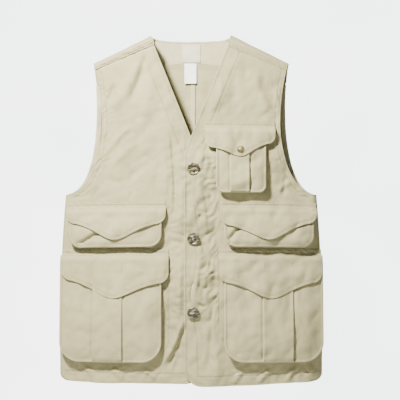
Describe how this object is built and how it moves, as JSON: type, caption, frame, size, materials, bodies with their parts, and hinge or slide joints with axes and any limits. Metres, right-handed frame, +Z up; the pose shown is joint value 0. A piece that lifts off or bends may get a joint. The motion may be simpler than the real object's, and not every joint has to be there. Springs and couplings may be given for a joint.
{
  "type": "fishing vest",
  "caption": "Sleeveless V-neck cotton vest with a buttoned lapped front, a chest pocket with a snapped flap, and bellows pockets under pointed flaps.",
  "frame": {"origin": "Where a hanger carries the vest: the middle of the neck, level with the two neck points of the shoulders.", "axes": "The front faces -Y, the wearer's left side is +X, and +Z is up."},
  "size_m": [0.5656, 0.1118, 0.7409],
  "materials": {
    "twill_khaki": "washed cotton twill, matt",
    "twill_inside": "inside face of washed cotton twill, matt",
    "label_woven": "blank woven damask",
    "label_satin": "blank white satin tape",
    "horn": "mottled horn look, polished",
    "button_thread": "cotton thread",
    "antique_brass": "antiqued, satin"
  },
  "bodies": {
    "back": {"back_panel_left": "twill_khaki", "back_panel_right": "twill_khaki", "back_yoke": "twill_khaki", "yoke_lining": "twill_inside", "back_hem": "twill_inside", "back_armhole_facing_left": "twill_inside", "back_armhole_facing_right": "twill_inside", "side_seam_left": "twill_inside", "side_seam_right": "twill_inside", "size_label": "label_woven"},
    "label": {"care_label": "label_satin"},
    "left_front": {"front_panel_left": "twill_khaki", "front_facing_left": "twill_inside", "front_armhole_facing_left": "twill_inside", "front_hem_left": "twill_inside", "chest_pocket_bellows": "twill_khaki", "chest_flap_seam": "twill_khaki", "mid_pocket_bellows_left": "twill_khaki", "mid_flap_seam_left": "twill_khaki", "lower_pocket_bellows_left": "twill_khaki", "lower_flap_seam_left": "twill_khaki"},
    "right_front": {"front_panel_right": "twill_khaki", "front_facing_right": "twill_inside", "front_armhole_facing_right": "twill_inside", "front_hem_right": "twill_inside", "inside_pocket": "twill_inside", "front_buttons": "horn", "button_threads": "button_thread", "mid_pocket_bellows_right": "twill_khaki", "mid_flap_seam_right": "twill_khaki", "lower_pocket_bellows_right": "twill_khaki", "lower_flap_seam_right": "twill_khaki"},
    "chest_bag": {"chest_pocket_face": "twill_khaki", "snap_stud": "antique_brass", "snap_stud_back": "antique_brass"},
    "chest_lid": {"chest_flap": "twill_khaki", "snap_cap": "antique_brass", "snap_socket": "antique_brass"},
    "mid_left_bag": {"mid_pocket_face_left": "twill_khaki"},
    "mid_left_lid": {"mid_flap_left": "twill_khaki"},
    "lower_left_bag": {"lower_pocket_face_left": "twill_khaki"},
    "lower_left_lid": {"lower_flap_left": "twill_khaki"},
    "mid_right_bag": {"mid_pocket_face_right": "twill_khaki"},
    "mid_right_lid": {"mid_flap_right": "twill_khaki"},
    "lower_right_bag": {"lower_pocket_face_right": "twill_khaki"},
    "lower_right_lid": {"lower_flap_right": "twill_khaki"}
  },
  "joints": [
    {"name": "left_front_swing", "type": "hinge", "parent": "back", "child": "left_front", "pos_m": [0.281, -0.0091, -0.51947], "axis": [-0.034, 0.0199, 0.9992], "range_deg": [0, 35]},
    {"name": "right_front_swing", "type": "hinge", "parent": "back", "child": "right_front", "pos_m": [-0.281, -0.00564, -0.51957], "axis": [-0.034, -0.0199, -0.9992], "range_deg": [0, 15.75]},
    {"name": "care_label_swing", "type": "hinge", "parent": "back", "child": "label", "pos_m": [-0.0015, 0.02856, -0.0551], "axis": [-1, 0, 0], "range_deg": [0, 120]},
    {"name": "chest_bag_swell", "type": "slide", "parent": "left_front", "child": "chest_bag", "axis": [0.106, -0.991, 0.0815], "range_m": [0, 0.014], "deforming": ["chest_pocket_bellows"]},
    {"name": "chest_flap_lift", "type": "hinge", "parent": "chest_bag", "child": "chest_lid", "pos_m": [0.10526, -0.04638, -0.19377], "axis": [-0.9946, -0.1037, 0.0085], "range_deg": [0, 150]},
    {"name": "mid_left_bag_swell", "type": "slide", "parent": "left_front", "child": "mid_left_bag", "axis": [0.166, -0.9783, 0.1236], "range_m": [0, 0.018], "deforming": ["mid_pocket_bellows_left"]},
    {"name": "mid_left_flap_lift", "type": "hinge", "parent": "mid_left_bag", "child": "mid_left_lid", "pos_m": [0.16727, -0.04161, -0.36364], "axis": [-0.9862, -0.1642, 0.0207], "range_deg": [0, 105]},
    {"name": "lower_left_bag_swell", "type": "slide", "parent": "left_front", "child": "lower_left_bag", "axis": [0.176, -0.9816, 0.0738], "range_m": [0, 0.022], "deforming": ["lower_pocket_bellows_left"]},
    {"name": "lower_left_flap_lift", "type": "hinge", "parent": "lower_left_bag", "child": "lower_left_lid", "pos_m": [0.17081, -0.04397, -0.46448], "axis": [-0.9856, -0.1685, 0.0127], "range_deg": [0, 105]},
    {"name": "mid_right_bag_swell", "type": "slide", "parent": "right_front", "child": "mid_right_bag", "axis": [-0.161, -0.9792, 0.1237], "range_m": [0, 0.018], "deforming": ["mid_pocket_bellows_right"]},
    {"name": "mid_right_flap_lift", "type": "hinge", "parent": "mid_right_bag", "child": "mid_right_lid", "pos_m": [-0.16114, -0.03899, -0.36397], "axis": [-0.9871, 0.1587, -0.0201], "range_deg": [0, 150]},
    {"name": "lower_right_bag_swell", "type": "slide", "parent": "right_front", "child": "lower_right_bag", "axis": [-0.1715, -0.9824, 0.0739], "range_m": [0, 0.022], "deforming": ["lower_pocket_bellows_right"]},
    {"name": "lower_right_flap_lift", "type": "hinge", "parent": "lower_right_bag", "child": "lower_right_lid", "pos_m": [-0.16365, -0.04153, -0.46467], "axis": [-0.9867, 0.162, -0.0122], "range_deg": [0, 105]}
  ],
  "couplings": [
    {"joint": "right_front_swing", "follows": "left_front_swing", "ratio": 0.45}
  ]
}
